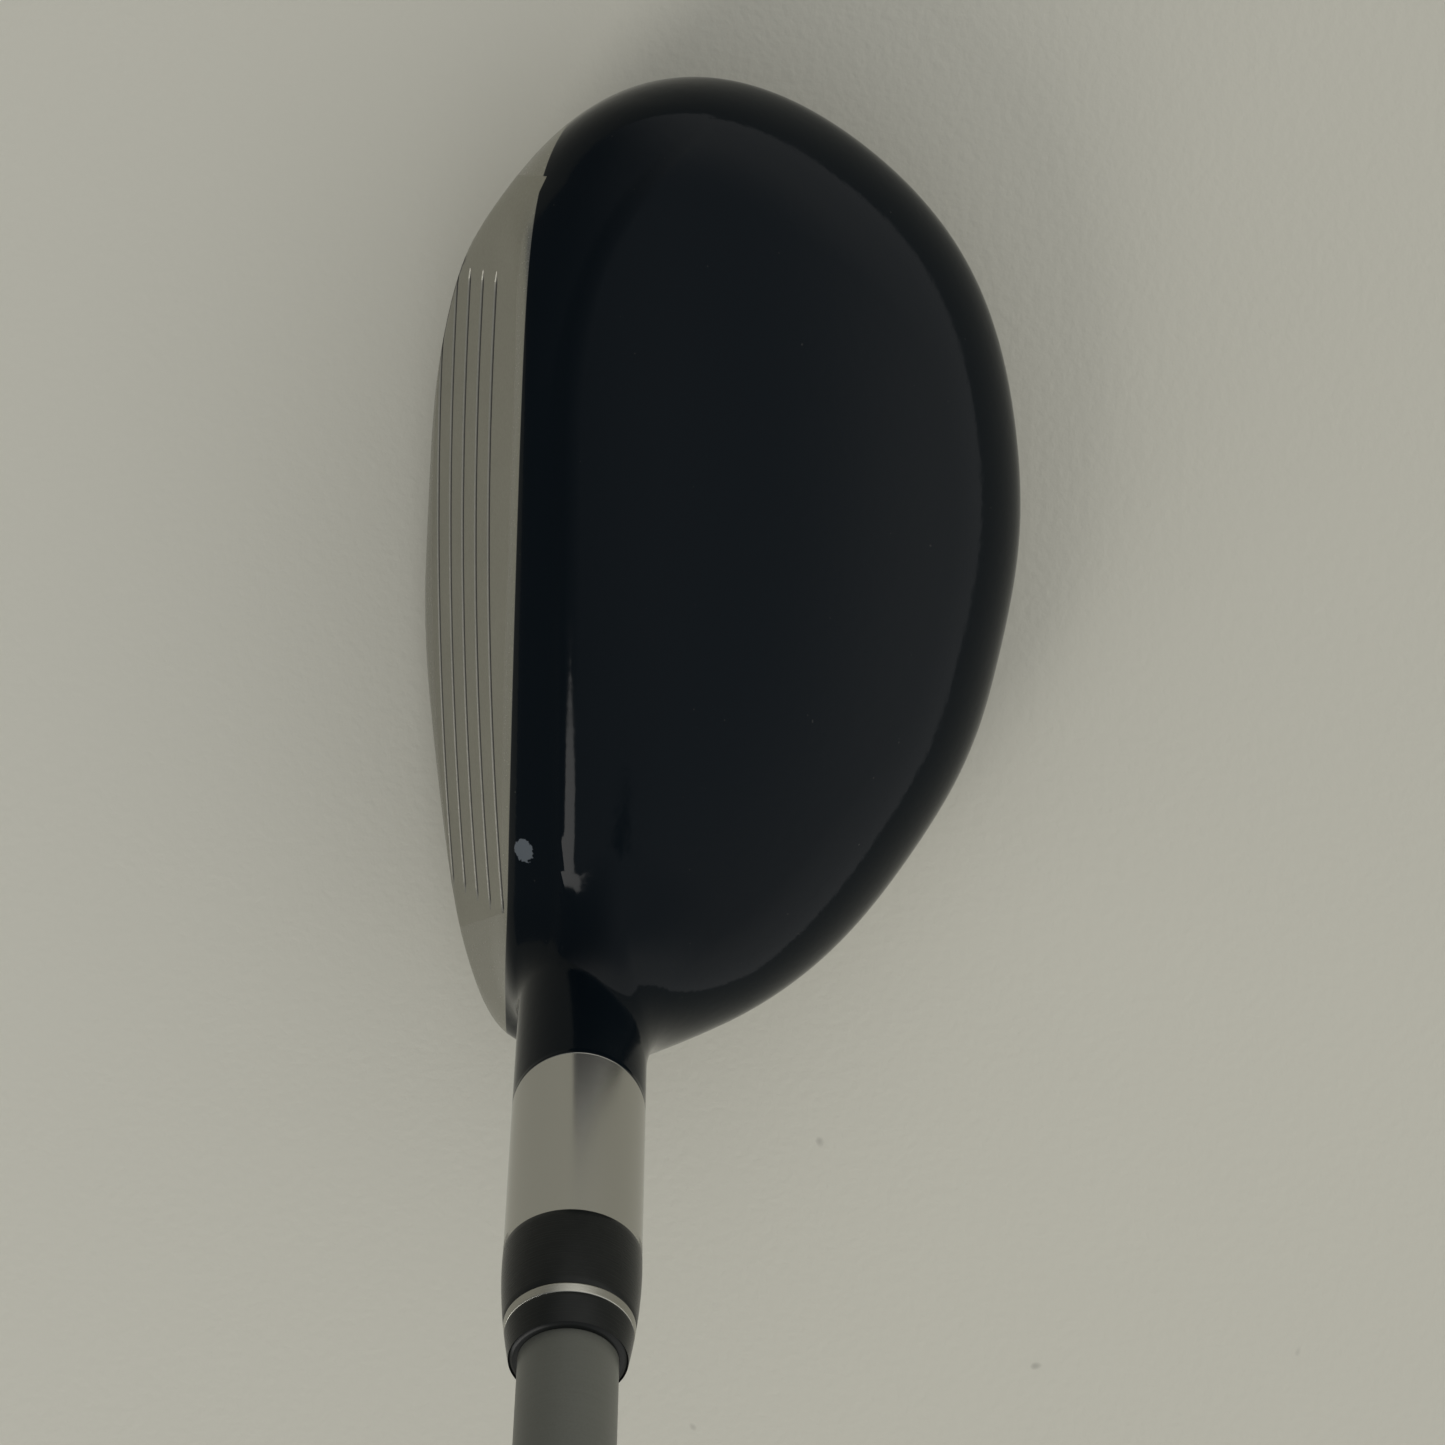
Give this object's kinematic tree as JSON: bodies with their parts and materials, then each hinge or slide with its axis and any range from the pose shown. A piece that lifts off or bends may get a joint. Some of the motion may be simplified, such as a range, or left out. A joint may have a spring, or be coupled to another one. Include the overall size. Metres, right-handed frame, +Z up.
{
  "type": "hybrid golf club",
  "caption": "Right-handed hybrid golf club: hollow steel head with grooved face, polished hosel, ringed ferrule, tapered graphite shaft and rubber grip.",
  "frame": {"origin": "middle of the flat land on the sole, under the face centre, with the club in its address position", "axes": "+Z up, -Y towards the target (the face looks that way), +X from the toe to the heel; the shaft axis lies in the plane Y = 0 and leans to +X at a lie of 60 degrees"},
  "size_m": [0.5866, 0.0636, 0.872],
  "materials": {
    "head_paint": "gloss black paint over cast steel, hosel polished bare",
    "crown_paint": "gloss black paint with a blue tint",
    "face_steel": "satin steel with horizontal score lines",
    "dense_metal": "sintered, dull",
    "hot_melt": "waxy amber",
    "badge_metal": "satin with a plain pattern",
    "screw_steel": "satin",
    "washer_rubber": "matt",
    "epoxy": "cured, slightly amber",
    "tip_brass": "turned",
    "graphite": "warm grey lacquered graphite tube",
    "ferrule_black": "polished black",
    "ferrule_ring": "bright",
    "grip_tape": "creped paper tape",
    "grip_rubber": "matt moulded rubber"
  },
  "bodies": {
    "root": {"head_body": "head_paint", "crown_plate": "crown_paint", "face_plate": "face_steel", "tungsten_slug": "dense_metal", "hot_melt_pad": "hot_melt", "sole_badge": "badge_metal", "weight_screw": "screw_steel", "weight_washer": "washer_rubber", "epoxy_sleeve": "epoxy", "tip_weight": "tip_brass", "shaft": "graphite", "ferrule_base": "ferrule_black", "ferrule_ring": "ferrule_ring", "ferrule_cap": "ferrule_black", "grip_tape": "grip_tape", "grip_sleeve": "grip_rubber", "grip_cap": "grip_rubber"}
  },
  "joints": []
}
